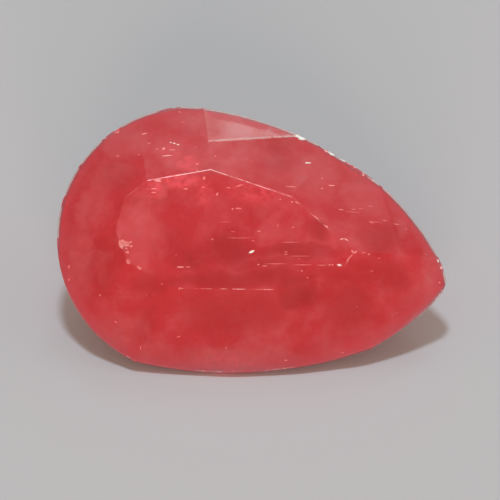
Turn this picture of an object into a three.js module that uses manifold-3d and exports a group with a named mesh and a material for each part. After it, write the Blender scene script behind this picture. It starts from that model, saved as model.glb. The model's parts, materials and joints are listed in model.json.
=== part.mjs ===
// A loose pear-cut rhodonite gemstone, in millimetres, +Z up. It lies on one facet of its
// pavilion, so its table leans towards -Y, and its point is at the +X end.
//
// The stone is made as a cutter makes it. A pear-shaped preform is ground flat, facet after facet:
// the table, the crown mains and the breaks below them, then the pavilion mains and their breaks.
// Last, its worn edges are chipped. All of that happens in the stone's own frame: X along the pear
// from its head to its point, Y across it, Z up through the table, and Z = 0 halfway up the girdle.
// Then the stone is laid down.

import * as THREE from 'three';
import { mergeVertices } from 'three/addons/utils/BufferGeometryUtils.js';
import Module from 'manifold-3d';

const wasm = await Module();
wasm.setup();

// ---- Driving dimensions: millimetres, and degrees ----

const GIRDLE_THICKNESS = 0.2;
const TABLE_HEIGHT = 1.05;

// The girdle, clockwise as seen from above, from the point of the pear. Each stretch runs from its
// start to the start of the next one, and bows out of that chord.
const GIRDLE_STRETCHES = [
  { start: [6.69, 0.07], bow: 0.05 },
  { start: [6.5, -0.5], bow: 0.07 },
  { start: [5.13, -1.98], bow: 0.47 },
  { start: [-0.78, -3.47], bow: 0.61 },
  { start: [-3.38, -0.43], bow: 0.86 },
  { start: [-0.79, 3.34], bow: 0.17 },
  { start: [2.4, 3.1], bow: 0.02 },
  { start: [3.3, 2.79], bow: 0.3 },
  { start: [6.39, 0.63], bow: 0.03 },
];
const GIRDLE_STEP = 0.25;

// The corners of the table, clockwise as seen from above, from the head. It was cut by eye, so its
// two halves differ a little.
const TABLE_CORNERS = [
  [-1.82, -0.41],
  [-1.77, 0.46],
  [-1.3, 1.01],
  [0.24, 1.6],
  [2.4, 1.29],
  [4.26, 0.19],
  [4.08, -0.24],
  [2.58, -1.16],
  [0.05, -1.61],
  [-1.38, -1.16],
];
// Where the main below each side of the table comes down to the girdle in a point between two
// breaks, as an azimuth round the middle of the head.
const CROWN_SEAMS = [176, 139, 110, 52, 27, -2, -23, -60, -103, -148];
// How far down the ridge between two crown mains their break begins, as a share of its height.
const CROWN_BREAK = 0.42;

// The stone lies on a flank main of the pavilion, so the slope of that main is the lean of the
// whole stone, and the main faces straight towards -Y as the stone lies.
const LEAN = 37;
const POINT_TURN = -10.9; // how far round from +X the point of the pear is, as the stone lies
const REST_AZIMUTH = -90 - POINT_TURN;

// The culet, under the head, and the far end of the short keel that runs from it to the point.
const CULET_AT = [0.1, 0];
const KEEL_END_AT = [1.9, 0];
// The pavilion mains round the stone, each with where it comes up to the girdle in a point.
const PAVILION_MAINS = [
  { azimuth: 49, seam: 20, meets: KEEL_END_AT },
  { azimuth: 79, seam: 66, meets: CULET_AT },
  { azimuth: 128, seam: 128, meets: CULET_AT },
  { azimuth: 180, seam: 180, meets: CULET_AT },
  { azimuth: -128, seam: -128, meets: CULET_AT },
  { azimuth: REST_AZIMUTH, seam: -66, meets: CULET_AT },
  { azimuth: -49, seam: -20, meets: KEEL_END_AT },
];
// How far down from the girdle the break of two pavilion mains reaches, as a share of their ridge.
const PAVILION_BREAK = 0.4;

// Hand-ground facets miss their meeting points by about this much.
const CUT_ERROR = 0.006;

// Bites out of the worn edges: the middle of each, its half-length along the edge, across it and
// up, and the azimuth of the edge.
const CHIPS = [
  { at: [2.31, 3.25, 0.1], size: [0.19, 0.1, 0.09], azimuth: -14 },
  { at: [2.5, 3.15, 0], size: [0.1, 0.08, 0.16], azimuth: -20 },
  { at: [2.93, 2.98, 0.04], size: [0.15, 0.09, 0.12], azimuth: -20 },
  { at: [3.16, 2.92, 0.12], size: [0.12, 0.1, 0.08], azimuth: -20 },
  { at: [3.4, 2.81, 0.1], size: [0.14, 0.08, 0.1], azimuth: -24 },
  { at: [3.66, 2.71, 0.1], size: [0.14, 0.07, 0.08], azimuth: -26 },
  { at: [4.08, 2.53, 0.1], size: [0.09, 0.07, 0.07], azimuth: -28 },
  { at: [4.37, 2.38, 0.1], size: [0.06, 0.05, 0.06], azimuth: -30 },
  { at: [4.82, 2.11, 0.1], size: [0.06, 0.05, 0.06], azimuth: -33 },
  { at: [6.55, 0.46, 0.06], size: [0.07, 0.06, 0.1], azimuth: -65 },
  { at: [-2.36, 2.4, 0.08], size: [0.12, 0.09, 0.1], azimuth: 44 },
  { at: [-1.64, -0.76, 1.05], size: [0.13, 0.08, 0.06], azimuth: -60 },
  { at: [-1.5, -0.72, 1.08], size: [0.1, 0.07, 0.07], azimuth: -20 },
  { at: [-1.37, -1.17, 1.05], size: [0.08, 0.06, 0.05], azimuth: -45 },
  { at: [-1.06, -1.28, 1.06], size: [0.08, 0.05, 0.05], azimuth: -18 },
];

const LAP_SIZE = 30;

// ---- Directions and planes ----

const UP = new THREE.Vector3(0, 0, 1);

/** A level direction, from its azimuth in degrees. */
function level(azimuth) {
  return new THREE.Vector3(1, 0, 0).applyAxisAngle(UP, THREE.MathUtils.degToRad(azimuth));
}

/** A facet's plane through three points, turned to face out of the stone. */
function facetThrough(first, second, third) {
  const facet = new THREE.Plane().setFromCoplanarPoints(first, second, third);
  return facet.constant > 0 ? facet.negate() : facet;
}

/** The height of a facet above or below a level point. */
function heightOn(facet, point) {
  const { normal, constant } = facet;
  return -(normal.x * point.x + normal.y * point.y + constant) / normal.z;
}

/** Where the ridge between two facets is at a height. */
function ridgeAt(facet, neighbour, height) {
  const [a, b] = [facet, neighbour].map(({ normal, constant }) => [
    normal.x,
    normal.y,
    -(constant + normal.z * height),
  ]);
  const determinant = a[0] * b[1] - a[1] * b[0];
  const x = (a[2] * b[1] - a[1] * b[2]) / determinant;
  const y = (a[0] * b[2] - a[2] * b[0]) / determinant;
  return new THREE.Vector3(x, y, height);
}

// ---- The girdle ----

/** One stretch of the girdle as points on its arc, without the last one. */
function stretchPoints({ start, bow }, next) {
  const from = new THREE.Vector2(...start);
  const chord = new THREE.Vector2(...next.start).sub(from);
  const halfChord = chord.length() / 2;
  const radius = (halfChord ** 2 + bow ** 2) / (2 * bow);
  const outwards = new THREE.Vector2(-chord.y, chord.x).normalize();
  const centre = from.clone().addScaledVector(chord, 0.5).addScaledVector(outwards, bow - radius);
  const sweep = 2 * Math.asin(halfChord / radius);
  const firstAngle = from.clone().sub(centre).angle();
  const arc = new THREE.ArcCurve(centre.x, centre.y, radius, firstAngle, firstAngle - sweep, true);
  const steps = Math.max(1, Math.round((radius * sweep) / GIRDLE_STEP));
  return arc.getPoints(steps).slice(0, -1);
}

const girdle = GIRDLE_STRETCHES.flatMap((stretch, index) =>
  stretchPoints(stretch, GIRDLE_STRETCHES[(index + 1) % GIRDLE_STRETCHES.length]),
);

/** The point of the girdle that reaches furthest in a direction. */
function girdleTowards(direction) {
  const reach = (point) => point.x * direction.x + point.y * direction.y;
  return girdle.reduce((best, point) => (reach(point) > reach(best) ? point : best));
}

/** The point of the girdle straight out from a place inside it, in a direction. */
function girdleFrom(place, direction) {
  const aim = (point) => {
    const away = new THREE.Vector3(point.x - place.x, point.y - place.y, 0);
    return away.dot(direction) / away.length();
  };
  return girdle.reduce((best, point) => (aim(point) > aim(best) ? point : best));
}

/** A main's plane: level along the girdle, which it touches at one height, and through a point. */
function mainFrom(direction, girdleHeight, point) {
  const touch = girdleTowards(direction);
  const edge = new THREE.Vector3(touch.x, touch.y, girdleHeight);
  const along = new THREE.Vector3(-direction.y, direction.x, 0).add(edge);
  return facetThrough(edge, along, point);
}

// ---- The facets ----

/**
 * The pairs of breaks between each main and the one before it. A pair starts at a share of the
 * ridge between the two mains, and goes down to where each main comes to the girdle in a point.
 */
function breaksOf(mains, seams, top, girdleHeight, share) {
  const middle = new THREE.Vector3();
  const inwards = Math.sign(top - girdleHeight);
  const points = mains.map((main, index) => {
    const point = girdleFrom(middle, level(seams[index]));
    return new THREE.Vector3(point.x, point.y, heightOn(main, point) + inwards * CUT_ERROR);
  });
  return mains.flatMap((main, index) => {
    const before = (index + mains.length - 1) % mains.length;
    const start = ridgeAt(mains[before], main, THREE.MathUtils.lerp(top, girdleHeight, share));
    const foot = ridgeAt(mains[before], main, girdleHeight);
    const outwards = foot.clone().sub(start).setZ(0).normalize();
    const below = girdleFrom(start, outwards);
    const corner = new THREE.Vector3(below.x, below.y, girdleHeight);
    return [facetThrough(start, points[before], corner), facetThrough(start, corner, points[index])];
  });
}

/** The crown: the table, a main below each side of it, and a break below each corner. */
function crownFacets() {
  const table = new THREE.Plane(UP.clone(), -TABLE_HEIGHT);
  const corners = TABLE_CORNERS.map(([x, y]) => new THREE.Vector3(x, y, TABLE_HEIGHT));
  const girdleTop = GIRDLE_THICKNESS / 2;
  const mains = corners.map((corner, index) => {
    const side = corners[(index + 1) % corners.length].clone().sub(corner);
    const outwards = new THREE.Vector3(-side.y, side.x, 0).normalize();
    return mainFrom(outwards, girdleTop, corner);
  });
  const breaks = breaksOf(mains, CROWN_SEAMS, TABLE_HEIGHT, girdleTop, CROWN_BREAK);
  return [table, ...mains, ...breaks];
}

/** The facet that the stone lies on, from the lower edge of the girdle down at the lean. */
function restFacet() {
  const outwards = level(REST_AZIMUTH);
  const touch = girdleTowards(outwards);
  const lean = THREE.MathUtils.degToRad(LEAN);
  const normal = outwards.clone().multiplyScalar(Math.sin(lean)).addScaledVector(UP, -Math.cos(lean));
  const edge = new THREE.Vector3(touch.x, touch.y, -GIRDLE_THICKNESS / 2);
  return new THREE.Plane().setFromNormalAndCoplanarPoint(normal, edge);
}

/** The pavilion: the mains, which meet on the keel in the rest facet's plane, and their breaks. */
function pavilionFacets(rest) {
  const girdleBottom = -GIRDLE_THICKNESS / 2;
  const mains = PAVILION_MAINS.map(({ azimuth, meets }) => {
    if (azimuth === REST_AZIMUTH) {
      return rest;
    }
    const keel = new THREE.Vector3(...meets, 0);
    keel.z = heightOn(rest, keel);
    return mainFrom(level(azimuth), girdleBottom, keel);
  });
  const seams = PAVILION_MAINS.map(({ seam }) => seam);
  const culet = new THREE.Vector3(...CULET_AT, 0);
  const bottom = heightOn(rest, culet);
  const breaks = breaksOf(mains, seams, bottom, girdleBottom, 1 - PAVILION_BREAK);
  return [...mains, ...breaks];
}

// ---- The stone ----

/** A closed geometry as a solid that can be joined and cut. */
function solidOf(geometry) {
  const closed = geometry.index ? geometry.toNonIndexed() : geometry.clone();
  closed.deleteAttribute('normal');
  closed.deleteAttribute('uv');
  const merged = mergeVertices(closed, 1e-5);
  return new wasm.Manifold(
    new wasm.Mesh({
      numProp: 3,
      vertProperties: new Float32Array(merged.attributes.position.array),
      triVerts: new Uint32Array(merged.index.array),
    }),
  );
}

/** A solid as a geometry again. */
function geometryOf(solid) {
  const { vertProperties, triVerts } = solid.getMesh();
  const geometry = new THREE.BufferGeometry();
  geometry.setAttribute('position', new THREE.BufferAttribute(vertProperties, 3));
  geometry.setIndex(new THREE.BufferAttribute(triVerts, 1));
  return geometry;
}

/** The pear-shaped preform, with straight sides and flat ends. */
function preform() {
  const height = LAP_SIZE / 4;
  const geometry = new THREE.ExtrudeGeometry(new THREE.Shape(girdle), {
    depth: height,
    steps: 1,
    bevelEnabled: false,
  });
  geometry.translate(0, 0, -height / 2);
  return solidOf(geometry);
}

/** The stone with all that stands proud of a facet's plane ground away. */
function grind(stone, facet) {
  const lap = new THREE.BoxGeometry(LAP_SIZE, LAP_SIZE, LAP_SIZE);
  lap.translate(0, 0, LAP_SIZE / 2);
  lap.applyQuaternion(new THREE.Quaternion().setFromUnitVectors(UP, facet.normal));
  const { x, y, z } = facet.coplanarPoint(new THREE.Vector3());
  lap.translate(x, y, z);
  return stone.subtract(solidOf(lap));
}

/** The stone with a shallow bite taken out of an edge. */
function chip(stone, { at, size, azimuth }) {
  const flake = new THREE.IcosahedronGeometry(1, 1);
  flake.scale(...size);
  flake.rotateZ(THREE.MathUtils.degToRad(azimuth));
  flake.translate(...at);
  return stone.subtract(solidOf(flake));
}

const rest = restFacet();
const facets = [...crownFacets(), ...pavilionFacets(rest)];
const cut = facets.reduce(grind, preform());
const worn = CHIPS.reduce(chip, cut);

const stone = new THREE.Mesh(
  geometryOf(worn),
  new THREE.MeshStandardMaterial({ color: 0xbf484b, roughness: 0.2, metalness: 0 }),
);
stone.name = 'rhodonite_stone';

// Turned about its own Z, leant back onto its rest facet, then set down with the middle of its
// bounding box over the origin.
stone.quaternion
  .setFromAxisAngle(new THREE.Vector3(1, 0, 0), THREE.MathUtils.degToRad(LEAN))
  .multiply(new THREE.Quaternion().setFromAxisAngle(UP, THREE.MathUtils.degToRad(POINT_TURN)));
const bounds = new THREE.Box3().setFromObject(stone, true);
const middle = bounds.getCenter(new THREE.Vector3());
stone.position.set(-middle.x, -middle.y, -bounds.min.z);

const model = new THREE.Group();
model.add(stone);

export default model;
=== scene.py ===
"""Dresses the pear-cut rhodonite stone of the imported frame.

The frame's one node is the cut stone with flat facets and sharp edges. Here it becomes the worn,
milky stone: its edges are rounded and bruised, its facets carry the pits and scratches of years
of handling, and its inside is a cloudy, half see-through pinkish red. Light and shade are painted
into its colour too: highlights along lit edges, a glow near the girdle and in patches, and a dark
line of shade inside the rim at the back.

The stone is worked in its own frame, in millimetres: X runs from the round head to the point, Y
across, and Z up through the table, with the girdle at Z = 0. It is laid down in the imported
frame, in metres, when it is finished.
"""

import json
import logging
import math
from dataclasses import dataclass, field
from enum import Enum

import bmesh
import bpy
from mathutils import Matrix, Vector
from mathutils.bvhtree import BVHTree
from mathutils.geometry import intersect_point_line


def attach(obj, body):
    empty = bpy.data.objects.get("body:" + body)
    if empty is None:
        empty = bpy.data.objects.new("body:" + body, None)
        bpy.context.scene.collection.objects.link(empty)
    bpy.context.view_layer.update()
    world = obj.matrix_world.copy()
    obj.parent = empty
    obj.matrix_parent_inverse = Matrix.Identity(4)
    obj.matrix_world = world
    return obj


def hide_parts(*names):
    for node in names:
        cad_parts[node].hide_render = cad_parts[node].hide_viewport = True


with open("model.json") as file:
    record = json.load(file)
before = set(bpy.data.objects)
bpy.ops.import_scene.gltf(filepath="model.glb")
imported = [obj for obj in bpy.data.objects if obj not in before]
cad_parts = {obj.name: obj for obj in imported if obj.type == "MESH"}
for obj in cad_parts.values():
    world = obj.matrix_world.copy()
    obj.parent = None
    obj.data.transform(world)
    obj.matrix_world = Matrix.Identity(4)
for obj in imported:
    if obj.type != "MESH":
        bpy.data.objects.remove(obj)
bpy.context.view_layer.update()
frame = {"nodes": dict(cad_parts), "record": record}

log = logging.getLogger("rhodonite")

MM = 0.001
STONE_NODE = "rhodonite_stone"
STONE_BODY = "root"
TABLE_MOUNT = "table"

EDGE_WEAR_AND_HIGHLIGHT = "edge_wear_and_highlight"
FROST = "frost"
POLISH, WORN, CHIP, SHADED = range(4)

Colour = tuple[float, float, float]
Triple = tuple[float, float, float]
Point = tuple[float, float]


# ---- How the stone lies ----


@dataclass(frozen=True)
class Lie:
    """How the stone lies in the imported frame."""

    lean: float = 37.0
    point_turn: float = -10.9
    table_mark: Triple = (0.932, -0.003, 1.05)

    def turn(self) -> Matrix:
        """Return the turn from the stone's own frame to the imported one."""
        lean = Matrix.Rotation(math.radians(self.lean), 4, "X")
        return lean @ Matrix.Rotation(math.radians(self.point_turn), 4, "Z")

    def placing(self) -> Matrix:
        """Return the matrix from the stone's own frame, in millimetres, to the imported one."""
        mounts = frame["record"]["mounts"]
        mark = next(Vector(m["pos_m"]) for m in mounts if m["name"] == TABLE_MOUNT)
        turn = self.turn()
        origin = mark - turn @ (Vector(self.table_mark) * MM)
        return Matrix.Translation(origin) @ turn @ Matrix.Scale(MM, 4)


# ---- What the camera sees ----


@dataclass(frozen=True)
class Camera:
    """The camera, which looks along +Y and down at the stone. Lengths are in millimetres."""

    elevation: float = 40.0
    distance: float = 200.0
    target: Triple = (-0.0406, 0.1699, 1.7025)
    view_width: float = 12.87
    picture_size: int = 500
    sensor_width: float = 36.0
    nearest: float = 10.0

    @property
    def pixel(self) -> float:
        """Return how wide a pixel of the camera's picture is at the target."""
        return self.view_width / self.picture_size

    @property
    def towards(self) -> Vector:
        """Return the direction from the target to the camera."""
        elevation = math.radians(self.elevation)
        return Vector((0, -math.cos(elevation), math.sin(elevation)))

    @property
    def eye(self) -> Vector:
        """Return the camera's place."""
        return Vector(self.target) + self.towards * self.distance

    def shown(self, point: Point) -> Vector:
        """Return the place level with the target that shows at a point of the picture."""
        across = Vector((1, 0, 0))
        upwards = self.towards.cross(across)
        right, down = (number - self.picture_size / 2 for number in point)
        return Vector(self.target) + (across * right - upwards * down) * self.pixel

    def build(self) -> None:
        """Set the camera up."""
        data = bpy.data.cameras.new("camera")
        data.sensor_width = self.sensor_width
        data.lens = self.sensor_width * self.distance / self.view_width
        data.clip_start = self.nearest * MM
        camera = bpy.data.objects.new("camera", data)
        camera.location = self.eye * MM
        camera.rotation_euler = self.towards.to_track_quat("Z", "Y").to_euler()
        bpy.context.scene.collection.objects.link(camera)
        bpy.context.scene.camera = camera


@dataclass(frozen=True)
class Sight:
    """Finds what shows where in the camera's picture, to a hundredth of a millimetre.

    A point of the picture is counted in pixels, rightwards and down from its upper left corner.

    Args:
        camera: The camera.
        lie: How the stone lies.
        facets: The facets of the stone, in its own frame.
    """

    camera: Camera
    lie: Lie
    facets: BVHTree

    @classmethod
    def of(cls, camera: Camera, lie: Lie) -> "Sight":
        """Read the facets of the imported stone."""
        stone = frame["nodes"][STONE_NODE].data
        home = lie.placing().inverted()
        corners = [home @ corner.co for corner in stone.vertices]
        faces = [tuple(face.vertices) for face in stone.polygons]
        return cls(camera, lie, BVHTree.FromPolygons(corners, faces))

    def place(self, point: Point) -> Triple:
        """Return the place on the stone, in its own frame, that shows at a point."""
        home = self.lie.placing().inverted()
        eye = home @ (self.camera.eye * MM)
        through = home @ (self.camera.shown(point) * MM)
        place = self.facets.ray_cast(eye, through - eye)[0]
        return tuple(round(number, 2) for number in place)

    def reach(self, size: Point, stretch: float) -> Point:
        """Return a size on the stone from its size in the picture.

        Args:
            size: How far it goes across and up the picture, in pixels.
            stretch: How far the lean of the stone shortens it in the picture, upwards.
        """
        across, upwards = size
        pixel = self.camera.pixel
        return round(across * pixel, 2), round(upwards * pixel * stretch, 2)

    def turn(self, angle: float) -> float:
        """Return a direction on the stone, in degrees, from its direction in the picture."""
        return round(angle - self.lie.point_turn)


SIGHT = Sight.of(Camera(), Lie())


# ---- Node trees ----


@dataclass
class Tree:
    """A short way to write a node tree."""

    tree: bpy.types.NodeTree

    def add(self, kind: str, **settings: object) -> bpy.types.Node:
        """Add a node.

        Args:
            kind: The node's type.
            settings: Values for the node's own settings.

        Returns:
            The new node.
        """
        node = self.tree.nodes.new(kind)
        for name, value in settings.items():
            setattr(node, name, value)
        return node

    def feed(self, node: bpy.types.Node, **values: object) -> bpy.types.Node:
        """Give a node its inputs, each by its socket's name with _ for a space.

        Args:
            node: The node.
            values: A socket to link from, or a plain value, for each input.

        Returns:
            The same node.
        """
        for name, value in values.items():
            self.put(node.inputs[name.replace("_", " ")], value)
        return node

    def put(self, socket: bpy.types.NodeSocket, value: object) -> None:
        """Link a socket to the input, or set the input's value."""
        if isinstance(value, bpy.types.NodeSocket):
            self.tree.links.new(value, socket)
        else:
            socket.default_value = value

    def math(self, operation: str, first: object, second: object = 0.0) -> bpy.types.NodeSocket:
        """Return the result of a sum on one or two numbers."""
        node = self.add("ShaderNodeMath", operation=operation)
        self.put(node.inputs[0], first)
        self.put(node.inputs[1], second)
        return node.outputs[0]

    def vector(self, operation: str, first: object, second: object) -> bpy.types.NodeSocket:
        """Return the vector result of a sum on two vectors."""
        node = self.add("ShaderNodeVectorMath", operation=operation)
        self.put(node.inputs[0], first)
        self.put(node.inputs[1], second)
        return node.outputs["Vector"]

    def ramp(self, value: object, low: float, high: float, bottom: float = 0.0,
             top: float = 1.0) -> bpy.types.NodeSocket:
        """Return a number eased from bottom to top as the value goes from low to high."""
        node = self.add("ShaderNodeMapRange", interpolation_type="SMOOTHSTEP")
        for socket, number in zip(node.inputs, (value, low, high, bottom, top)):
            self.put(socket, number)
        return node.outputs["Result"]

    def noise(self, place: object, scale: float, detail: float = 2.0, roughness: float = 0.5,
              distortion: float = 0.0) -> bpy.types.Node:
        """Add a noise texture that reads a place."""
        node = self.add("ShaderNodeTexNoise")
        return self.feed(node, Vector=place, Scale=scale, Detail=detail,
                         Roughness=roughness, Distortion=distortion)

    def blend(self, share: object, under: object, over: object) -> bpy.types.NodeSocket:
        """Return one colour laid over another."""
        node = self.add("ShaderNodeMix", data_type="RGBA")
        self.put(node.inputs["Factor"], share)
        self.put(node.inputs["A"], under)
        self.put(node.inputs["B"], over)
        return node.outputs["Result"]


def opened(colour: Colour) -> tuple[float, float, float, float]:
    """Return a colour with its alpha."""
    return (*colour, 1.0)


def group(name: str, inputs: dict[str, str], outputs: dict[str, str],
          kind: str = "ShaderNodeTree") -> tuple[Tree, bpy.types.Node, bpy.types.Node]:
    """Start a node group.

    Args:
        name: The group's name.
        inputs: The kind of each input socket, by name.
        outputs: The kind of each output socket, by name.
        kind: The kind of tree.

    Returns:
        The tree, and its input and output nodes.
    """
    tree = bpy.data.node_groups.new(name, kind)
    for title, socket in inputs.items():
        tree.interface.new_socket(name=title, in_out="INPUT", socket_type=socket)
    for title, socket in outputs.items():
        tree.interface.new_socket(name=title, in_out="OUTPUT", socket_type=socket)
    return Tree(tree), tree.nodes.new("NodeGroupInput"), tree.nodes.new("NodeGroupOutput")


# ---- What clouds the stone ----


class Tint(Enum):
    """What a cloud does to the stone: to the colour inside it, or to its polish. GLOW paints a
    glow of light shining through the stone into its colour.
    """

    MILK = "milk"
    DEEP = "deep"
    # painted glow: light shining through the stone, painted into its colour
    GLOW = "glow"
    DULL = "dull"

    @property
    def drift(self) -> float:
        """Return how far its clouds are drawn out of shape, in millimetres."""
        return 0.8 if self in (Tint.MILK, Tint.DEEP) else 0.4


TABLE_STRETCH = 1.03
CROWN_STRETCH = 1.15
TABLE_CLOUD_DEPTH = 0.03
CROWN_CLOUD_DEPTH = 1.0
CLOUD_HEART = 0.25
CLOUD_EDGE = 1.25


@dataclass(frozen=True)
class Cloud:
    """One soft cloud inside the stone.

    Args:
        tint: What it does to the colour.
        place: Its middle, in the stone's own frame.
        reach: Half its size each way.
        turn: Its turn about Z, in degrees.
        strength: How much of it shows.
    """

    tint: Tint
    place: Triple
    reach: Triple
    turn: float = 0.0
    strength: float = 1.0

    @classmethod
    def on_table(cls, tint: Tint, point: Point, size: Point, strength: float,
                 angle: float = 0.0) -> "Cloud":
        """Return the thin cloud just under the table that shows at a point of the picture.

        Args:
            tint: What it does to the colour.
            point: The point of the picture.
            size: Half its size across and up the picture, in pixels.
            strength: How much of it shows.
            angle: Its turn in the picture, in degrees.
        """
        x, y, _ = SIGHT.place(point)
        reach = (*SIGHT.reach(size, TABLE_STRETCH), TABLE_CLOUD_DEPTH)
        place = (x, y, SIGHT.lie.table_mark[2])
        return cls(tint, place, reach, SIGHT.turn(angle), strength)

    @classmethod
    def on_crown(cls, tint: Tint, point: Point, size: Point, strength: float,
                 angle: float = 0.0) -> "Cloud":
        """Return the deep cloud under the crown that shows at a point of the picture.

        Args:
            tint: What it does to the colour.
            point: The point of the picture.
            size: Half its size across and up the picture, in pixels.
            strength: How much of it shows.
            angle: Its turn in the picture, in degrees.
        """
        reach = (*SIGHT.reach(size, CROWN_STRETCH), CROWN_CLOUD_DEPTH)
        return cls(tint, SIGHT.place(point), reach, SIGHT.turn(angle), strength)


CLOUDS = (
    # The table.
    Cloud.on_table(Tint.MILK, (138, 230), (26, 50), 0.60),
    Cloud.on_table(Tint.MILK, (131, 207), (14, 14), 0.25),
    Cloud.on_table(Tint.MILK, (155, 191), (10, 9), 0.45),
    Cloud.on_table(Tint.MILK, (272, 226), (18, 22), 0.35),
    Cloud.on_table(Tint.MILK, (222, 212), (24, 18), 0.25),
    Cloud.on_table(Tint.MILK, (260, 208), (15, 13), 0.40),
    Cloud.on_table(Tint.MILK, (185, 193), (34, 14), 0.20),
    Cloud.on_table(Tint.MILK, (290, 198), (30, 12), 0.35),
    Cloud.on_table(Tint.MILK, (320, 262), (14, 12), 0.20),
    # Painted glow: light shining through the stone at the back of the table.
    Cloud.on_table(Tint.GLOW, (155, 187), (10, 10), 1.00),
    Cloud.on_table(Tint.GLOW, (180, 182), (24, 9), 1.00),
    Cloud.on_table(Tint.GLOW, (206, 194), (10, 14), 0.50),
    Cloud.on_table(Tint.GLOW, (258, 192), (34, 12), 0.50),
    Cloud(Tint.MILK, (-1.12, 0.86, 1.05), (0.24, 0.18, 0.03), 11, 0.50),
    Cloud(Tint.MILK, (-0.55, 1.10, 1.05), (0.50, 0.18, 0.03), 11, 0.25),
    Cloud.on_table(Tint.DEEP, (240, 281), (110, 14), 0.75),
    Cloud.on_table(Tint.DEEP, (228, 250), (30, 20), 0.70),
    Cloud.on_table(Tint.DEEP, (303, 286), (40, 14), 1.00),
    Cloud.on_table(Tint.DEEP, (321, 230), (16, 20), 0.80),
    Cloud.on_table(Tint.DEEP, (300, 253), (52, 10), 0.70),
    Cloud.on_table(Tint.DEEP, (258, 264), (44, 8), 0.50),
    Cloud.on_table(Tint.GLOW, (152, 190), (10, 8), 0.60),
    Cloud.on_table(Tint.MILK, (158, 187), (16, 6), 0.40),
    # The crown.
    Cloud.on_crown(Tint.MILK, (130, 142), (24, 24), 0.50),
    Cloud.on_crown(Tint.MILK, (172, 148), (22, 18), 0.50),
    Cloud.on_crown(Tint.MILK, (95, 205), (18, 36), 0.40, -15),
    Cloud.on_crown(Tint.MILK, (78, 262), (20, 44), 0.45),
    Cloud.on_crown(Tint.MILK, (100, 268), (14, 18), 0.25),
    Cloud.on_crown(Tint.MILK, (118, 328), (34, 20), 0.40, -25),
    Cloud.on_crown(Tint.MILK, (225, 155), (75, 20), 0.32),
    Cloud.on_crown(Tint.MILK, (190, 120), (22, 14), 0.45),
    Cloud.on_crown(Tint.MILK, (312, 172), (34, 30), 0.60),
    Cloud.on_crown(Tint.MILK, (365, 197), (40, 24), 0.40, -35),
    Cloud.on_crown(Tint.MILK, (430, 272), (12, 28), 0.45),
    # painted light: this milky band lightens the bottom edge, where light shines through the thin
    # front
    Cloud.on_crown(Tint.MILK, (235, 360), (62, 12), 0.55),
    Cloud.on_crown(Tint.GLOW, (172, 150), (24, 14), 0.35),
    Cloud.on_crown(Tint.GLOW, (190, 162), (14, 11), 1.00),
    # painted light: these glow clouds and the milky one after them light the bottom edge, where
    # light shines through the thin front
    Cloud.on_crown(Tint.GLOW, (235, 364), (50, 10), 0.30),
    Cloud.on_crown(Tint.GLOW, (232, 368), (50, 10), 1.00),
    Cloud.on_crown(Tint.MILK, (232, 369), (54, 7), 0.70),
    Cloud.on_crown(Tint.MILK, (120, 173), (16, 12), 0.25),
    Cloud.on_crown(Tint.MILK, (85, 265), (14, 20), 0.30),
    Cloud.on_crown(Tint.MILK, (150, 348), (26, 12), 0.35),
    Cloud.on_crown(Tint.MILK, (397, 224), (9, 16), 0.55, 19),
    Cloud.on_crown(Tint.MILK, (197, 120), (8, 12), 0.35),
    Cloud.on_crown(Tint.DEEP, (372, 241), (14, 8), 0.40),
    Cloud.on_crown(Tint.MILK, (396, 206), (9, 14), 0.45, 30),
    # painted shade: these two dark bands widen the dark line of shade inside the rim at the back
    Cloud.on_crown(Tint.DEEP, (332, 160), (18, 4), 0.80, -32),
    Cloud.on_crown(Tint.DEEP, (364, 180), (16, 4), 0.80, -38),
    Cloud.on_table(Tint.DEEP, (196, 255), (26, 13.5), 0.45),
    Cloud.on_crown(Tint.DEEP, (400, 300), (16, 12), 0.30, -30),
    Cloud.on_crown(Tint.MILK, (391.1, 208), (8, 14), 0.35, 30),
    Cloud.on_crown(Tint.DEEP, (215, 167), (14, 8), 0.50),
    Cloud.on_crown(Tint.DEEP, (275, 164), (16, 10), 0.40),
    Cloud.on_crown(Tint.DEEP, (240, 312), (80, 24), 0.60),
    Cloud.on_crown(Tint.DEEP, (303, 292), (28, 14), 1.00),
    Cloud.on_crown(Tint.DEEP, (350, 305), (34, 30), 0.70),
    Cloud.on_crown(Tint.DEEP, (392, 278), (22, 20), 0.70),
    Cloud.on_crown(Tint.DEEP, (380, 240), (26, 20), 0.60),
    Cloud.on_crown(Tint.DEEP, (113, 178), (20, 18), 0.50),
    Cloud.on_crown(Tint.DEEP, (108, 288), (20, 12), 0.40),
    Cloud.on_crown(Tint.DEEP, (370, 272), (34, 14), 0.50),
    Cloud.on_crown(Tint.DEEP, (152, 282), (18, 12), 0.60),
    Cloud.on_crown(Tint.DEEP, (292, 297), (24, 14.2), 1.00),
    Cloud.on_crown(Tint.DEEP, (335, 278), (22, 12), 0.50),
    Cloud(Tint.DULL, (-0.10, 2.89, 0.38), (0.60, 0.75, 1.0), 11, 0.55),
    Cloud.on_crown(Tint.DULL, (222, 112), (24, 9), 1.00, -8),
    Cloud.on_crown(Tint.DULL, (256, 120), (26, 8), 1.00, -14),
    Cloud.on_crown(Tint.DULL, (282, 129), (14, 7), 0.70, -16),
)


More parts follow.
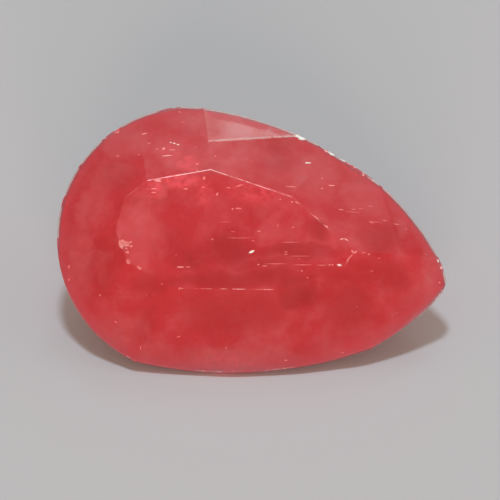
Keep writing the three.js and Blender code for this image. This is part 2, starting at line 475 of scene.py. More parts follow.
def cloud_group() -> bpy.types.NodeTree:
    """Build the group that says how deep a place lies in one soft cloud."""
    tree, source, sink = group(
        "soft_cloud",
        {"Place": "NodeSocketVector", "Middle": "NodeSocketVector", "Reach": "NodeSocketVector",
         "Turn": "NodeSocketFloat", "Strength": "NodeSocketFloat"},
        {"Mask": "NodeSocketFloat"},
    )
    away = tree.vector("SUBTRACT", source.outputs["Place"], source.outputs["Middle"])
    turned = tree.add("ShaderNodeVectorRotate", rotation_type="Z_AXIS", invert=True)
    tree.feed(turned, Vector=away, Angle=source.outputs["Turn"])
    share = tree.vector("DIVIDE", turned.outputs["Vector"], source.outputs["Reach"])
    length = tree.add("ShaderNodeVectorMath", operation="LENGTH")
    tree.put(length.inputs[0], share)
    mask = tree.ramp(length.outputs["Value"], CLOUD_EDGE, CLOUD_HEART)
    tree.put(sink.inputs["Mask"], tree.math("MULTIPLY", mask, source.outputs["Strength"]))
    return tree.tree


@dataclass(frozen=True)
class StoneColours:
    """The colours inside the stone; the glow and rim colours are painted light shining through
    it.
    """

    body: Colour = (0.685, 0.032, 0.054)
    milk: Colour = (0.81, 0.150, 0.175)
    deep: Colour = (0.52, 0.016, 0.028)
    # glow: the colour of the painted glow of light shining through the stone
    glow: Colour = (1.00, 0.120, 0.160)
    # rim: a painted glow of light shining through the thin stone near the girdle
    rim: Colour = (1.00, 0.100, 0.140)

    def group(self) -> bpy.types.NodeTree:
        """Build the group that gives the colour inside the stone and the place it is read at."""
        tree, source, sink = group(
            "clouded_rhodonite",
            {"Place": "NodeSocketVector"},
            {"Colour": "NodeSocketColor", "Dullness": "NodeSocketFloat"},
        )
        place = source.outputs["Place"]
        drift = tree.noise(place, 0.9, detail=3.0)
        swing = tree.vector("SUBTRACT", drift.outputs["Color"], (0.5, 0.5, 0.5))
        masks = {}
        for tint in Tint:
            bent = tree.vector("MULTIPLY_ADD", swing, (tint.drift, tint.drift, 0.0))
            tree.put(bent.node.inputs[2], place)
            masks[tint] = self.mask(tree, bent, tint)

        billows = tree.noise(place, 0.55, detail=5.0, roughness=0.55, distortion=0.5)
        flecks = tree.noise(place, 2.6, detail=4.0, roughness=0.6, distortion=0.3)
        veil = tree.math("ADD", tree.ramp(billows.outputs["Fac"], 0.45, 0.75, 0.0, 0.45),
                         tree.ramp(flecks.outputs["Fac"], 0.35, 0.75, -0.10, 0.18))
        veil = tree.math("MULTIPLY", veil, tree.ramp(masks[Tint.DEEP], 0.0, 0.8, 1.0, 0.25))
        milk = tree.math("ADD", masks[Tint.MILK], veil)
        deep = tree.math("ADD", masks[Tint.DEEP],
                         tree.ramp(billows.outputs["Fac"], 0.47, 0.30, 0.0, 0.6))

        sparks = tree.noise(place, 4.5, detail=3.0, roughness=0.6)
        # painted glow, broken up by the sparks
        glow = tree.math("MULTIPLY", masks[Tint.GLOW],
                         tree.ramp(sparks.outputs["Fac"], 0.40, 0.62, 0.35, 1.2))

        split = tree.add("ShaderNodeSeparateXYZ")
        tree.put(split.inputs[0], place)
        # painted glow: lighter towards the girdle, where light shines through the thin edge
        rim = tree.ramp(tree.math("ABSOLUTE", split.outputs["Z"]), 0.32, 0.08, 0.0, 0.6)

        colour = tree.blend(deep, opened(self.body), opened(self.deep))
        colour = tree.blend(milk, colour, opened(self.milk))
        colour = tree.blend(glow, colour, opened(self.glow))
        colour = tree.blend(rim, colour, opened(self.rim))
        tree.put(sink.inputs["Colour"], colour)
        tree.put(sink.inputs["Dullness"], masks[Tint.DULL])
        return tree.tree

    def mask(self, tree: Tree, place: bpy.types.NodeSocket, tint: Tint) -> bpy.types.NodeSocket:
        """Return how much of one tint's clouds shows at a place."""
        shape = bpy.data.node_groups.get("soft_cloud") or cloud_group()
        total: bpy.types.NodeSocket | None = None
        for cloud in (c for c in CLOUDS if c.tint is tint):
            node = tree.add("ShaderNodeGroup", node_tree=shape)
            tree.feed(node, Place=place, Middle=cloud.place, Reach=cloud.reach,
                      Turn=math.radians(cloud.turn), Strength=cloud.strength)
            mask = node.outputs["Mask"]
            total = mask if total is None else tree.math("MAXIMUM", total, mask)
        assert total is not None
        return total


# ---- Finishes ----


@dataclass(frozen=True)
class PolishedFinish:
    """The polished facets: dulled by handling, with the cloudy stone under them."""

    colours: StoneColours = field(default_factory=StoneColours)
    ior: float = 1.73
    transmission: float = 0.18
    scatter_radius: Triple = (2.5, 0.8, 0.75)
    smoothness: tuple[float, float] = (0.13, 0.24)
    dulling: float = 0.26
    grain_turn: float = 10.9
    wave_height: float = 0.008
    line_height: float = 0.0010

    def start(self, name: str, lie: Lie) -> tuple[
            bpy.types.Material, Tree, bpy.types.Node, bpy.types.NodeSocket, bpy.types.Node]:
        """Start a material of polished stone.

        Args:
            name: The material's name.
            lie: How the stone lies, by which places on it are read in its own frame.

        Returns:
            The material, its tree, its shader node, the socket that gives the place, and the
            node that gives the stone's colour and dullness there.
        """
        material, tree, shader, place = stone_material(name, lie)
        tree.feed(shader, IOR=self.ior, Transmission_Weight=self.transmission,
                  Subsurface_Weight=1.0, Subsurface_Radius=self.scatter_radius,
                  Subsurface_Scale=MM)
        stone = tree.add("ShaderNodeGroup", node_tree=stone_colours(self.colours))
        tree.put(stone.inputs["Place"], place)
        return material, tree, shader, place, stone

    def material(self, lie: Lie) -> bpy.types.Material:
        """Build the material, from how the stone lies."""
        material, tree, shader, place, stone = self.start("polished_rhodonite", lie)
        tree.feed(shader, Base_Color=stone.outputs["Colour"])

        grain = tree.add("ShaderNodeVectorRotate", rotation_type="Z_AXIS", invert=True)
        tree.feed(grain, Vector=place, Angle=math.radians(-self.grain_turn))
        along = tree.vector("MULTIPLY", grain.outputs["Vector"], (1.0, 14.0, 14.0))
        lines = tree.noise(along, 1.5, detail=3.0)
        patches = tree.noise(place, 1.3, detail=4.0, roughness=0.65)
        gloss = tree.math("ADD", patches.outputs["Fac"],
                          tree.math("MULTIPLY", lines.outputs["Fac"], 0.4))
        roughness = tree.ramp(gloss, 0.5, 0.95, *self.smoothness)
        dulled = tree.math("MULTIPLY", stone.outputs["Dullness"], self.dulling)
        tree.feed(shader, Roughness=tree.math("ADD", roughness, dulled))

        waves = tree.noise(place, 0.6, detail=1.0)
        height = tree.math("MULTIPLY", waves.outputs["Fac"], self.wave_height)
        height = tree.math("ADD", height,
                           tree.math("MULTIPLY", lines.outputs["Fac"], self.line_height))
        bump = tree.add("ShaderNodeBump")
        tree.feed(bump, Height=height, Distance=MM, Strength=1.0)
        tree.feed(shader, Normal=bump.outputs["Normal"])
        return material


@dataclass(frozen=True)
class WornAndHighlitFinish:
    """The rounded edges: polished stone where whole, and frosted where worn, the frost partly
    painted highlight.
    """

    polished: PolishedFinish = field(default_factory=PolishedFinish)
    # frost: pale frosted wear, and the colour of the painted highlights along lit edges
    frost: Colour = (1.0, 0.50, 0.50)
    smoothness: tuple[float, float] = (0.18, 0.34)

    def material(self, lie: Lie) -> bpy.types.Material:
        """Build the material, from how the stone lies."""
        material, tree, shader, place, stone = self.polished.start("worn_and_highlit_rhodonite_edge", lie)
        wear = tree.add("ShaderNodeAttribute", attribute_name=EDGE_WEAR_AND_HIGHLIGHT)
        nibbles = tree.noise(place, 9.0, detail=3.0, roughness=0.6)
        reach = tree.math("ADD", wear.outputs["Fac"],
                          tree.ramp(nibbles.outputs["Fac"], 0.3, 0.7, -0.22, 0.14))
        # frosted: frost of wear, and painted highlight where the edge catches the light
        frosted = tree.ramp(reach, 0.10, 0.95)
        colour = tree.blend(frosted, stone.outputs["Colour"], opened(self.frost))
        tree.feed(shader, Base_Color=colour,
                  Roughness=tree.ramp(frosted, 0.0, 1.0, *self.smoothness))
        return material


@dataclass(frozen=True)
class ShadedFinish:
    """The thin dark line of painted shade inside the worn rim."""

    polished: PolishedFinish = field(default_factory=PolishedFinish)
    shade: Colour = (0.33, 0.055, 0.100)
    share: float = 0.95
    roughness: float = 0.3

    def material(self, lie: Lie) -> bpy.types.Material:
        """Build the material, from how the stone lies."""
        material, tree, shader, place, stone = self.polished.start("shaded_rhodonite", lie)
        nibbles = tree.noise(place, 3.0, detail=2.0)
        share = tree.ramp(nibbles.outputs["Fac"], 0.3, 0.5, 0.6 * self.share, self.share)
        tree.feed(shader, Roughness=self.roughness,
                  Base_Color=tree.blend(share, stone.outputs["Colour"], opened(self.shade)))
        return material


@dataclass(frozen=True)
class BrokenFinish:
    """Frosted stone in the dents, scratches and chips, as white as each mark is fresh; the
    whitest are partly painted glints.
    """

    pale: Colour = (1.0, 0.50, 0.47)
    # white: fresh frost, and on the brightest marks a painted glint
    white: Colour = (1.0, 0.96, 0.93)
    colours: StoneColours = field(default_factory=StoneColours)
    ior: float = 1.73
    roughness: float = 0.42

    def material(self, lie: Lie) -> bpy.types.Material:
        """Build the material, from how the stone lies."""
        material, tree, shader, place = stone_material("broken_rhodonite", lie)
        tree.feed(shader, IOR=self.ior, Roughness=self.roughness)
        stone = tree.add("ShaderNodeGroup", node_tree=stone_colours(self.colours))
        tree.put(stone.inputs["Place"], place)
        frost = tree.add("ShaderNodeAttribute", attribute_name=FROST).outputs["Fac"]
        grains = tree.noise(place, 16.0, detail=2.0, roughness=0.6)
        share = tree.math("MULTIPLY", frost,
                          tree.ramp(grains.outputs["Fac"], 0.25, 0.6, 0.6, 1.0))
        colour = tree.blend(share, stone.outputs["Colour"], opened(self.pale))
        colour = tree.blend(tree.ramp(frost, 0.7, 1.0), colour, opened(self.white))
        tree.feed(shader, Base_Color=colour)
        return material


def stone_colours(colours: StoneColours) -> bpy.types.NodeTree:
    """Return the group for the colour inside the stone, built once."""
    return bpy.data.node_groups.get("clouded_rhodonite") or colours.group()


def stone_material(name: str, lie: Lie) -> tuple[
        bpy.types.Material, Tree, bpy.types.Node, bpy.types.NodeSocket]:
    """Start a material that reads places in the stone's own frame, in millimetres.

    Args:
        name: The material's name.
        lie: How the stone lies.

    Returns:
        The material, its tree, its shader node and the socket that gives the place.
    """
    material = bpy.data.materials.new(name)
    material.use_nodes = True
    tree = Tree(material.node_tree)
    back = lie.placing().inverted()
    spot = tree.add("ShaderNodeTexCoord")
    mapping = tree.add("ShaderNodeMapping")
    tree.feed(mapping, Vector=spot.outputs["Object"], Location=back.translation,
              Rotation=back.to_euler(), Scale=back.to_scale())
    return material, tree, material.node_tree.nodes["Principled BSDF"], mapping.outputs[0]


# ---- Wear ----


class Edge(Enum):
    """The kinds of edge on the stone: how wide each has worn, and how frosted it is, painted
    highlight included.
    """

    TABLE = (0.022, 0.05)
    # The shoulder's frost is partly a painted highlight along the lit ridge.
    SHOULDER = (0.060, 0.40)
    GIRDLE = (0.040, 0.10)
    CROWN = (0.008, 0.0)
    PAVILION = (0.012, 0.1)
    FRESH = (0.0, 0.0)

    @property
    def width(self) -> float:
        """Return how wide the edge has worn, in millimetres."""
        return self.value[0]

    @property
    def frost(self) -> float:
        """Return how frosted the edge is all along, from 0 to 1, painted highlight included."""
        return self.value[1]


@dataclass(frozen=True)
class CutEdge:
    """One edge of the stone as it was cut: its two ends and its kind."""

    start: Vector
    end: Vector
    kind: Edge

    def distance(self, point: Vector) -> float:
        """Return how far a point lies from the edge."""
        near, share = intersect_point_line(point, self.start, self.end)
        if share <= 0.0:
            near = self.start
        elif share >= 1.0:
            near = self.end
        return (point - near).length


STRETCH_FADE = 0.08
STRETCH_REACH = 1.5


@dataclass(frozen=True)
class RubAndHighlight:
    """A stretch where an edge is frosted more than elsewhere, as seen looking down on the table,
    partly as painted highlight.

    Args:
        start: Its start along and across the stone.
        end: Its end.
        frost: How frosted it is, from 0 to 1.
    """

    start: Point
    end: Point
    frost: float

    @classmethod
    def seen(cls, start: Point, end: Point, frost: float) -> "RubAndHighlight":
        """Return the stretch that shows between two points of the camera's picture.

        Args:
            start: The point where it starts.
            end: The point where it ends.
            frost: How frosted it is, from 0 to 1.
        """
        return cls(SIGHT.place(start)[:2], SIGHT.place(end)[:2], frost)

    def reach(self, point: Vector) -> float:
        """Return how frosted the stretch leaves a point, from 0 to 1."""
        start, end = Vector((*self.start, 0.0)), Vector((*self.end, 0.0))
        away = CutEdge(start, end, Edge.FRESH).distance(Vector((point.x, point.y, 0.0)))
        return self.frost * min(1.0, max(0.0, STRETCH_REACH - away / STRETCH_FADE))


# Frosted stretches of edge: partly wear, partly painted highlights where the edges catch the
# light.
RUBS_AND_HIGHLIGHTS = (
    # The table's edge at the back.
    RubAndHighlight.seen((178, 175), (192, 172.5), 0.95),
    RubAndHighlight.seen((192, 172.5), (211, 170.7), 0.70),
    RubAndHighlight.seen((211, 170.7), (226, 173.5), 0.90),
    RubAndHighlight.seen((226, 173.5), (259, 185.5), 0.55),
    RubAndHighlight.seen((259, 185.5), (270, 188.5), 0.80),
    RubAndHighlight.seen((270, 188.5), (291, 196.5), 0.50),
    RubAndHighlight.seen((296.1, 202), (300, 205), 0.50),
    RubAndHighlight.seen((312, 215), (319, 219), 0.60),
    RubAndHighlight((3.42, 0.72), (3.46, 0.70), 0.70),
    RubAndHighlight.seen((354, 252), (345, 263), 0.45),
    # The table's edge at the front.
    RubAndHighlight((0.04, -1.61), (0.08, -1.61), 0.80),
    RubAndHighlight.seen((184, 288.6), (201, 289.3), 0.25),
    RubAndHighlight.seen((203, 289.5), (209, 290), 0.50),
    RubAndHighlight.seen((221, 290.3), (226, 290.3), 0.50),
    RubAndHighlight.seen((234.7, 290.6), (243, 290.8), 0.80),
    RubAndHighlight.seen((256, 290.8), (261, 290.8), 0.60),
    RubAndHighlight.seen((264.5, 290), (270, 289), 0.65),
    # The table's edge round the head.
    RubAndHighlight.seen((143.7, 185.8), (128, 195.8), 0.35),
    RubAndHighlight.seen((128, 195.8), (119.2, 229.8), 0.30),
    RubAndHighlight((-1.75, -0.40), (-1.60, -0.75), 0.25),
    RubAndHighlight.seen((147.8, 270), (165, 280), 0.30),
    # The shoulder, and the girdle behind it. The shoulder's stretches are a painted highlight
    # along the lit ridge.
    RubAndHighlight.seen((207, 141.6), (218, 141), 0.60),
    RubAndHighlight.seen((218, 141), (257, 139), 1.00),
    RubAndHighlight.seen((257, 139), (296, 136.5), 0.75),
    RubAndHighlight((2.20, 3.15), (2.55, 3.20), 1.00),
    RubAndHighlight((2.93, 3.02), (3.60, 2.75), 0.80),
    # The girdle in front.
    RubAndHighlight((0.93, -3.42), (1.86, -3.29), 0.60),
    RubAndHighlight((2.62, -3.09), (3.22, -2.90), 0.50),
    RubAndHighlight((6.35, -0.70), (6.63, -0.24), 0.70),
)


MARK_MARGIN = 0.03


@dataclass(frozen=True)
class Mark:
    """One dent or scratch at a known place, as seen looking down on the table.

    Args:
        x: Its place along the stone.
        y: Its place across the stone.
        length: Its length.
        width: Its width.
        turn: Its direction, in degrees from the way the point looks.
        frost: How frosted it is, from 0 to 1, which is fresh and white; on the brightest marks
            partly a painted glint.
    """

    x: float
    y: float
    length: float
    width: float = 0.04
    turn: float = 11.0
    frost: float = 1.0

    @classmethod
    def seen(cls, point: Point, length: float, width: float, angle: float,
             frost: float) -> "Mark":
        """Return the mark that shows at a point of the camera's picture.

        Args:
            point: The point of the picture.
            length: Its length on the stone.
            width: Its width on the stone.
            angle: Its direction in the picture, in degrees.
            frost: How frosted it is, from 0 to 1.
        """
        x, y, _ = SIGHT.place(point)
        return cls(x, y, length, width, SIGHT.turn(angle), frost)

    def away(self, place: Vector) -> float:
        """Return how far outside it a place lies, or a negative number inside it."""
        return math.hypot(place.x - self.x, place.y - self.y) - self.length / 2 - MARK_MARGIN


MARKS = (
    # The girdle behind, where it has been knocked.
    Mark(2.32, 3.10, 0.30, 0.20, -20, 1.00),
    Mark(2.20, 3.10, 0.12, 0.08, 10, 1.00),
    Mark(3.02, 2.86, 0.14, 0.06, -20, 0.80),
    Mark(3.16, 2.82, 0.20, 0.09, -20, 1.00),
    Mark(3.33, 2.77, 0.16, 0.07, -30, 0.80),
    Mark(3.49, 2.72, 0.18, 0.07, -20, 1.00),
    Mark(3.66, 2.66, 0.14, 0.06, -30, 0.80),
    Mark(3.82, 2.60, 0.12, 0.05, -25, 0.80),
    Mark(4.07, 2.42, 0.08, 0.05, -28, 0.80),
    Mark(4.34, 2.33, 0.08, 0.06, -30, 0.80),
    Mark(4.79, 2.08, 0.07, 0.06, -30, 0.80),
    Mark.seen((441.1, 268), 0.09, 0.08, -76, 0.80),
    Mark(6.38, 0.56, 0.10, 0.05, -62, 1.00),
    Mark(0.63, 3.37, 0.08, 0.05, 0, 0.60),
    Mark(0.87, 3.36, 0.07, 0.05, 0, 0.60),
    Mark(1.91, 3.19, 0.07, 0.05, -8, 0.60),
    Mark(-2.33, 2.32, 0.09, 0.04, 45, 0.35),
    # The table's corner by the head, where it has been knocked.
    Mark(-1.50, -0.72, 0.12, 0.05, -40, 0.50),
    Mark.seen((128, 252), 0.09, 0.05, -81, 0.50),
    Mark(-1.37, -0.76, 0.10, 0.05, 20, 0.50),
    Mark(-1.60, -0.66, 0.10, 0.06, -20, 0.50),
    Mark.seen((159, 180), 0.14, 0.08, -11, 0.55),
    # The back of the crown, by the head.
    Mark.seen((144.4, 133.7), 0.17, 0.045, 10, 0.70),
    Mark.seen((149.1, 142.9), 0.10, 0.036, 5, 0.42),
    Mark.seen((117.9, 156), 0.11, 0.036, 0, 0.42),
    Mark.seen((163.6, 148.5), 0.11, 0.070, 60, 0.60),
    Mark.seen((167.3, 155.7), 0.33, 0.042, 3, 0.75),
    Mark.seen((170.5, 142.3), 0.08, 0.036, -20, 0.88),
    Mark.seen((174.4, 143.2), 0.10, 0.045, -20, 0.88),
    Mark.seen((178, 144.6), 0.08, 0.045, -20, 0.88),
    Mark.seen((172, 149.7), 0.20, 0.028, 0, 0.42),
    Mark.seen((179.5, 112), 0.10, 0.040, -15, 0.42),
    Mark.seen((183, 122), 0.14, 0.032, 0, 0.20),
    Mark.seen((210.6, 132.7), 0.16, 0.034, 0, 0.42),
    Mark.seen((215.2, 156), 0.06, 0.042, 0, 0.42),
    Mark.seen((197.4, 163.8), 0.10, 0.060, -20, 0.42),
    # The back of the crown, by the point.
    Mark.seen((291, 186.6), 0.33, 0.036, 6, 0.42),
    Mark.seen((307.4, 162.7), 0.22, 0.045, 10, 0.95),
    Mark.seen((322.3, 178.4), 0.08, 0.036, 0, 0.42),
    Mark.seen((322, 188.4), 0.09, 0.036, 0, 0.42),
    Mark.seen((331.5, 185.5), 0.22, 0.045, 8, 0.70),
    Mark.seen((340.8, 209.6), 0.17, 0.042, 3, 0.42),
    Mark.seen((353.8, 209.2), 0.15, 0.034, 3, 0.20),
    Mark.seen((361, 208.6), 0.15, 0.026, 5, 0.20),
    Mark.seen((370.4, 206), 0.15, 0.036, 5, 0.20),
    Mark.seen((371.7, 222.5), 0.17, 0.046, -8, 0.60),
    Mark.seen((385, 220.6), 0.14, 0.030, 0, 0.42),
    Mark.seen((396, 224), 0.22, 0.034, 8, 0.42),
    Mark.seen((406, 229), 0.08, 0.030, 0, 0.20),
    # The table's edge.
    Mark.seen((157, 180.5), 0.24, 0.075, -15, 0.55),
    Mark.seen((315.7, 217.3), 0.22, 0.040, -35, 0.42),
    Mark.seen((327, 226.4), 0.09, 0.042, -40, 0.42),
    Mark.seen((341.5, 239), 0.16, 0.046, 25, 0.75),
    Mark(3.99, 0.46, 0.14, 0.042, -14, 0.75),
    Mark.seen((352.8, 251.5), 0.12, 0.055, -50, 0.42),
    Mark.seen((355.8, 252), 0.14, 0.055, 40, 0.42),
    Mark.seen((349.5, 257.5), 0.31, 0.026, 50, 0.42),
    Mark.seen((121.5, 243.5), 0.09, 0.040, -20, 0.45),
    Mark.seen((124.6, 245.5), 0.14, 0.045, -15, 0.45),
    Mark.seen((126.5, 248.5), 0.07, 0.045, -60, 0.45),
    Mark.seen((126.7, 252.4), 0.09, 0.045, -20, 0.45),
    Mark.seen((130.4, 242.3), 0.11, 0.042, 15, 0.50),
    Mark.seen((130, 261.7), 0.07, 0.030, -8, 0.35),
    Mark.seen((140.8, 267.8), 0.06, 0.030, -8, 0.35),
    # The table.
    Mark.seen((153.7, 188.7), 0.17, 0.040, 0, 0.42),
    Mark.seen((153.7, 192.4), 0.14, 0.036, 0, 0.42),
    Mark.seen((185.8, 188.9), 0.14, 0.040, 0, 0.42),
    Mark.seen((204, 178), 0.10, 0.080, 80, 0.42),
    Mark.seen((203, 187), 0.11, 0.038, 0, 0.20),
    Mark.seen((217.5, 194), 0.10, 0.062, 70, 0.42),
    Mark.seen((239.7, 185.4), 0.24, 0.032, 15, 0.42),
    Mark.seen((228.5, 187.5), 0.14, 0.038, 0, 0.20),
    Mark.seen((280.3, 199.2), 0.06, 0.040, 0, 0.42),
    Mark.seen((292, 202), 0.07, 0.046, 0, 0.42),
    Mark.seen((296.7, 202.3), 0.11, 0.038, -35, 0.42),
    Mark.seen((232.6, 209), 0.06, 0.050, 0, 0.42),
    Mark.seen((238.4, 208.3), 0.18, 0.046, 0, 0.42),
    Mark.seen((212.3, 239.1), 0.07, 0.050, 0, 0.42),
    Mark.seen((233.8, 238), 0.14, 0.030, 0, 0.20),
    Mark.seen((233, 231.4), 0.14, 0.028, -10, 0.20),
    Mark.seen((258.9, 231.2), 0.09, 0.036, 0, 0.42),
    Mark.seen((253, 240.5), 0.09, 0.030, 0, 0.42),
    Mark.seen((277.8, 225.6), 0.10, 0.036, 89, 0.20),
    Mark.seen((293, 227.3), 0.09, 0.032, 0, 0.20),
    Mark.seen((258.3, 264.7), 0.06, 0.044, 0, 0.42),
    Mark.seen((265, 265.8), 0.16, 0.030, 0, 0.42),
    Mark.seen((286, 252), 0.09, 0.026, 0, 0.42),
    Mark.seen((286, 254.4), 0.11, 0.028, 0, 0.42),
    Mark.seen((251.7, 251.6), 0.17, 0.068, 25, 0.95),
    Mark.seen((180.3, 266.9), 0.22, 0.048, 0, 0.60),
    Mark.seen((188, 267), 0.16, 0.026, 0, 0.42),
    Mark.seen((301.9, 270.8), 0.07, 0.046, 0, 0.20),
    Mark.seen((307.6, 277.8), 0.07, 0.046, 0, 0.20),
    Mark.seen((329.8, 264.8), 0.05, 0.042, 0, 0.60),
    Mark.seen((332.6, 264.8), 0.05, 0.042, 0, 0.60),
    Mark.seen((339.3, 265), 0.13, 0.060, -8, 0.88),
    # Long fine scratches along the table and behind it.
    Mark.seen((275, 264), 0.62, 0.022, 0, 0.25),
    Mark.seen((303, 265), 0.55, 0.022, 0, 0.25),
    Mark(3.50, -0.33, 0.30, 0.022, 11, 0.25),
    Mark.seen((290, 242), 0.50, 0.022, 0, 0.20),
    Mark.seen((240, 238), 0.80, 0.020, 0, 0.15),
    Mark.seen((225, 222), 0.45, 0.020, 0, 0.15),
    Mark(2.91, -0.20, 0.60, 0.020, 11, 0.20),
    Mark.seen((352, 212), 0.50, 0.020, 5, 0.25),
    Mark.seen((375, 222), 0.45, 0.020, 5, 0.25),
    # The front of the crown and the point.
    Mark.seen((363.5, 252.6), 0.16, 0.026, 0, 0.42),
    Mark.seen((369.2, 254.2), 0.09, 0.050, 0, 0.42),
    Mark.seen((379, 258.2), 0.09, 0.044, 0, 0.20),
    Mark.seen((372, 271), 0.11, 0.026, 0, 0.20),
    Mark.seen((439.5, 282.7), 0.07, 0.050, 0, 0.42),
    Mark.seen((68.9, 266.7), 0.09, 0.050, 89, 0.42),
    Mark.seen((68.9, 279.5), 0.08, 0.044, 89, 0.42),
    Mark.seen((162, 283.7), 0.08, 0.036, 0, 0.20),
    Mark.seen((99.8, 295.2), 0.07, 0.060, 0, 0.42),
    Mark.seen((179.9, 288.3), 0.07, 0.060, 0, 0.42),
    Mark.seen((286, 360.4), 0.09, 0.042, 0, 0.42),
    Mark.seen((140.4, 347.6), 0.13, 0.030, 89, 0.20),
)


@dataclass(frozen=True)
class FlakeField:
    """The little flakes that the marks and the stray pits are cut with."""

    shape_detail: int = 2
    depth_share: float = 0.6
    looking_down_from: float = 5.0
    strays_per_area: float = 0.3
    stray_length: tuple[float, float] = (0.04, 0.14)
    stray_width: tuple[float, float] = (0.018, 0.034)
    stray_frost: float = 0.30
    raggedness: float = 0.012
    seed: int = 7

    def tree(self) -> bpy.types.NodeTree:
        """Build the tree that lays flakes on a stone, at the marks and strewn over it."""
        sockets = {
            "Stone": "NodeSocketGeometry", "Marks": "NodeSocketObject",
            "Strays per area": "NodeSocketFloat", "Seed": "NodeSocketInt",
            "Shortest": "NodeSocketFloat", "Longest": "NodeSocketFloat",
            "Thinnest": "NodeSocketFloat", "Widest": "NodeSocketFloat",
            "Raggedness": "NodeSocketFloat", "Finish": "NodeSocketMaterial",
        }
        tree, source, sink = group("flakes", sockets, {"Flakes": "NodeSocketGeometry"},
                                   "GeometryNodeTree")
        given = source.outputs
        ball = tree.add("GeometryNodeMeshIcoSphere")
        tree.feed(ball, Radius=0.5, Subdivisions=self.shape_detail)
        flake = self.tapered(tree, ball.outputs["Mesh"])
        whole = tree.add("GeometryNodeMeshBoolean", operation="UNION", solver="MANIFOLD")
        tree.put(whole.inputs["Mesh 2"], self.named(tree, given, flake))
        tree.put(whole.inputs["Mesh 2"], self.strays(tree, given, flake))
        real = tree.add("GeometryNodeRealizeInstances")
        tree.put(real.inputs[0], whole.outputs[0])
        rough = tree.add("GeometryNodeSetPosition")
        where = tree.add("GeometryNodeInputPosition")
        jitter = tree.noise(where.outputs[0], 30.0, detail=1.0)
        swing = tree.vector("SUBTRACT", jitter.outputs["Color"], (0.5, 0.5, 0.5))
        shift = tree.add("ShaderNodeVectorMath", operation="SCALE")
        tree.put(shift.inputs[0], swing)
        tree.put(shift.inputs["Scale"], given["Raggedness"])
        tree.feed(rough, Geometry=real.outputs[0], Offset=shift.outputs["Vector"])
        dressed = tree.add("GeometryNodeSetMaterial")
        tree.feed(dressed, Geometry=rough.outputs[0], Material=given["Finish"])
        tree.put(sink.inputs["Flakes"], dressed.outputs[0])
        return tree.tree

    @staticmethod
    def tapered(tree: Tree, flake: bpy.types.NodeSocket) -> bpy.types.NodeSocket:
        """Return a ball drawn out to a point at each end."""
        where = tree.add("GeometryNodeInputPosition")
        split = tree.add("ShaderNodeSeparateXYZ")
        tree.put(split.inputs[0], where.outputs[0])
        along = tree.math("MULTIPLY", split.outputs["X"], split.outputs["X"])
        girth = tree.math("SUBTRACT", 1.0, tree.math("MULTIPLY", along, 3.2))
        joined = tree.add("ShaderNodeCombineXYZ")
        tree.feed(joined, X=split.outputs["X"],
                  Y=tree.math("MULTIPLY", split.outputs["Y"], girth),
                  Z=tree.math("MULTIPLY", split.outputs["Z"], girth))
        drawn = tree.add("GeometryNodeSetPosition")
        tree.feed(drawn, Geometry=flake, Position=joined.outputs[0])
        return drawn.outputs[0]

    def named(self, tree: Tree, given: bpy.types.NodeOutputs,
              flake: bpy.types.NodeSocket) -> bpy.types.NodeSocket:
        """Return the flakes at the marks, dropped straight down onto the crown."""
        marks = tree.add("GeometryNodeObjectInfo")
        tree.feed(marks, Object=given["Marks"])
        drop = tree.add("GeometryNodeRaycast")
        tree.feed(drop, Target_Geometry=given["Stone"], Ray_Direction=(0, 0, -1),
                  Ray_Length=2 * self.looking_down_from)
        up = tree.add("GeometryNodeCaptureAttribute", domain="POINT")
        up.capture_items.new("VECTOR", "Up")
        tree.feed(up, Geometry=marks.outputs["Geometry"], Up=drop.outputs["Hit Normal"])
        landed = tree.add("GeometryNodeSetPosition")
        tree.feed(landed, Geometry=up.outputs["Geometry"], Position=drop.outputs["Hit Position"])
        size, along = (tree.add("GeometryNodeInputNamedAttribute", data_type="FLOAT_VECTOR")
                       for _ in range(2))
        tree.feed(size, Name="size")
        tree.feed(along, Name="along")
        turn = tree.add("FunctionNodeAxesToRotation", primary_axis="Z", secondary_axis="X")
        tree.put(turn.inputs[0], up.outputs["Up"])
        tree.put(turn.inputs[1], along.outputs["Attribute"])
        laid = tree.add("GeometryNodeInstanceOnPoints")
        tree.feed(laid, Points=landed.outputs[0], Instance=flake, Rotation=turn.outputs[0],
                  Scale=size.outputs["Attribute"])
        return laid.outputs[0]

    def strays(self, tree: Tree, given: bpy.types.NodeOutputs,
               flake: bpy.types.NodeSocket) -> bpy.types.NodeSocket:
        """Return flakes strewn over the whole stone."""
        strewn = tree.add("GeometryNodeDistributePointsOnFaces")
        tree.feed(strewn, Mesh=given["Stone"], Density=given["Strays per area"],
                  Seed=given["Seed"])
        length = self.between(tree, given["Shortest"], given["Longest"], given["Seed"])
        width = self.between(tree, given["Thinnest"], given["Widest"], given["Seed"])
        size = tree.add("ShaderNodeCombineXYZ")
        tree.feed(size, X=length, Y=width, Z=tree.math("MULTIPLY", width, self.depth_share))
        sideways = tree.add("FunctionNodeRandomValue", data_type="FLOAT_VECTOR")
        tree.put(sideways.inputs["Min"], (0.6, -0.35, -0.2))
        tree.put(sideways.inputs["Max"], (1.0, 0.75, 0.2))
        turn = tree.add("FunctionNodeAxesToRotation", primary_axis="Z", secondary_axis="X")
        tree.put(turn.inputs[0], strewn.outputs["Normal"])
        tree.put(turn.inputs[1], sideways.outputs["Value"])
        laid = tree.add("GeometryNodeInstanceOnPoints")
        tree.feed(laid, Points=strewn.outputs["Points"], Instance=flake,
                  Rotation=turn.outputs[0], Scale=size.outputs[0])
        return laid.outputs[0]

